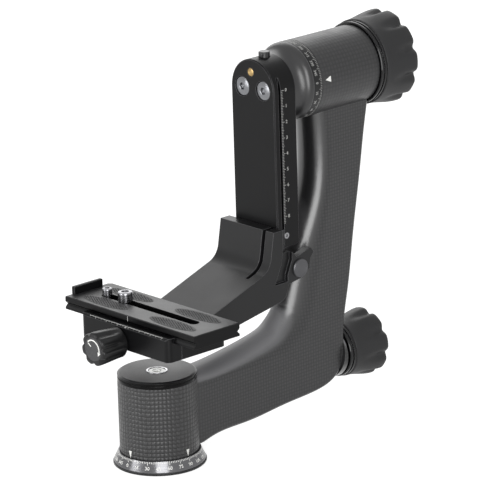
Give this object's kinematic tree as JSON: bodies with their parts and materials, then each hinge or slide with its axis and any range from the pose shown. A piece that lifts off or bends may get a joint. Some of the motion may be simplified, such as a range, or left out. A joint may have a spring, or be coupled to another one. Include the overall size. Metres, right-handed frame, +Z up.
{
  "type": "gimbal tripod head",
  "caption": "Side-mount gimbal head for a tripod: an L-shaped arm pans on a round base and carries a tilting rail with a sliding bracket, dovetail clamp and lens plate.",
  "frame": {"origin": "on the pan axis at the underside of the base plate, at the mouth of the tripod thread", "axes": "+Z up along the pan axis, +X along the tilt axis towards the lock knobs, +Y along the lens plate towards its lip"},
  "size_m": [0.2437, 0.1181, 0.2468],
  "materials": {
    "carbon": "satin clear-coated carbon weave",
    "black_anodised": "satin black anodised",
    "black_polished": "polished black anodised",
    "knob_rubber": "matte moulded",
    "scale_metal": "bright satin with engraved marks",
    "steel": "turned",
    "bearing_steel": "ground",
    "aluminium": "machined",
    "brass": "turned",
    "vial": "clear with bubble",
    "pad_rubber": "fine dotted"
  },
  "bodies": {
    "pan_base": {"base_plate": "black_anodised", "pan_scale_ring": "scale_metal", "pan_spindle": "aluminium", "pan_retaining_nut": "steel", "base_screws": "steel"},
    "arm": {"l_arm": "carbon", "base_barrel": "carbon", "tilt_barrel": "carbon", "base_liner": "aluminium", "pan_lower_bearing": "bearing_steel", "pan_upper_bearing": "bearing_steel", "base_cap": "black_anodised", "level_housing": "aluminium", "level_vial": "vial", "tilt_liner": "aluminium", "tilt_front_bearing": "bearing_steel", "tilt_rear_bearing": "bearing_steel", "pan_lock_bush": "brass"},
    "lock_rod": {"pan_lock_rod": "steel", "pan_brake_shoe": "brass"},
    "pan_knob": {"pan_knob_collar": "black_polished", "pan_knob_grip": "knob_rubber", "pan_knob_screw": "steel", "pan_knob_cap": "black_anodised"},
    "tilt_knob": {"tilt_knob_collar": "black_polished", "tilt_knob_grip": "knob_rubber", "tilt_knob_insert": "brass", "tilt_knob_cap": "black_anodised"},
    "swing": {"tilt_spindle": "steel", "tilt_hub": "black_anodised", "tilt_scale_ring": "black_anodised", "tilt_retaining_nut": "steel", "swing_rail": "black_anodised", "rail_screws": "steel", "brass_pin": "brass", "rail_stop_screw": "steel"},
    "release_button": {"rail_button": "steel"},
    "carriage": {"carriage_bracket": "black_anodised", "friction_pads": "pad_rubber", "friction_plug": "steel", "clamp_base": "black_anodised", "clamp_screws": "steel", "jaw_guide_pins": "steel"},
    "height_knob": {"height_lock_knob": "knob_rubber", "height_lock_screw": "steel"},
    "jaw": {"moving_jaw": "black_anodised"},
    "clamp_knob": {"clamp_knob_grip": "knob_rubber", "clamp_knob_screw": "steel"},
    "plate": {"lens_plate": "black_anodised", "plate_lip": "black_anodised", "plate_grip_pads": "pad_rubber", "plate_stop_screws": "steel"},
    "large_washer": {"large_screw_washer": "steel"},
    "large_screw": {"large_camera_screw": "steel"},
    "small_washer": {"small_screw_washer": "steel"},
    "small_screw": {"small_camera_screw": "steel"}
  },
  "joints": [
    {"name": "pan", "type": "hinge", "parent": "pan_base", "child": "arm", "pos_m": [0, 0, 0], "axis": [0, 0, 1], "continuous": true},
    {"name": "tilt", "type": "hinge", "parent": "arm", "child": "swing", "pos_m": [0.1, 0, 0.2175], "axis": [1, 0, 0], "continuous": true},
    {"name": "pan_brake", "type": "slide", "parent": "arm", "child": "lock_rod", "axis": [-1, 0, 0], "range_m": [0, 0.0008]},
    {"name": "pan_lock", "type": "hinge", "parent": "lock_rod", "child": "pan_knob", "pos_m": [0.16, 0, 0.0344], "axis": [1, 0, 0], "range_deg": [0, 360]},
    {"name": "tilt_lock", "type": "hinge", "parent": "arm", "child": "tilt_knob", "pos_m": [0.185, 0, 0.2175], "axis": [1, 0, 0], "range_deg": [0, 360]},
    {"name": "button_press", "type": "slide", "parent": "swing", "child": "release_button", "axis": [0, 0, -1], "range_m": [0, 0.0015], "stiffness_N_per_m": 600},
    {"name": "height", "type": "slide", "parent": "swing", "child": "carriage", "axis": [0, 0, 1], "range_m": [0, 0.08]},
    {"name": "height_lock", "type": "hinge", "parent": "carriage", "child": "height_knob", "pos_m": [0.0988, 0.028, 0.1056], "axis": [0, 1, 0], "range_deg": [0, 360]},
    {"name": "jaw_slide", "type": "slide", "parent": "carriage", "child": "jaw", "axis": [-1, 0, 0], "range_m": [0, 0.0036]},
    {"name": "clamp_turn", "type": "hinge", "parent": "jaw", "child": "clamp_knob", "pos_m": [-0.034, 0.0075, 0.0808], "axis": [1, 0, 0], "range_deg": [0, 1080]},
    {"name": "plate_slide", "type": "slide", "parent": "carriage", "child": "plate", "axis": [0, 1, 0], "range_m": [-0.014, 0.012]},
    {"name": "large_screw_slide", "type": "slide", "parent": "plate", "child": "large_washer", "axis": [0, 1, 0], "range_m": [-0.06, 0.002]},
    {"name": "large_screw_turn", "type": "hinge", "parent": "large_washer", "child": "large_screw", "pos_m": [0, 0.0268, 0.097], "axis": [0, 0, 1], "continuous": true},
    {"name": "small_screw_slide", "type": "slide", "parent": "plate", "child": "small_washer", "axis": [0, 1, 0], "range_m": [-0.003, 0]},
    {"name": "small_screw_turn", "type": "hinge", "parent": "small_washer", "child": "small_screw", "pos_m": [0, 0.0436, 0.097], "axis": [0, 0, 1], "continuous": true}
  ],
  "couplings": [
    {"joint": "pan_lock", "follows": "pan_brake", "rad_per_m": 7853.9},
    {"joint": "clamp_turn", "follows": "jaw_slide", "rad_per_m": 5235.9}
  ]
}
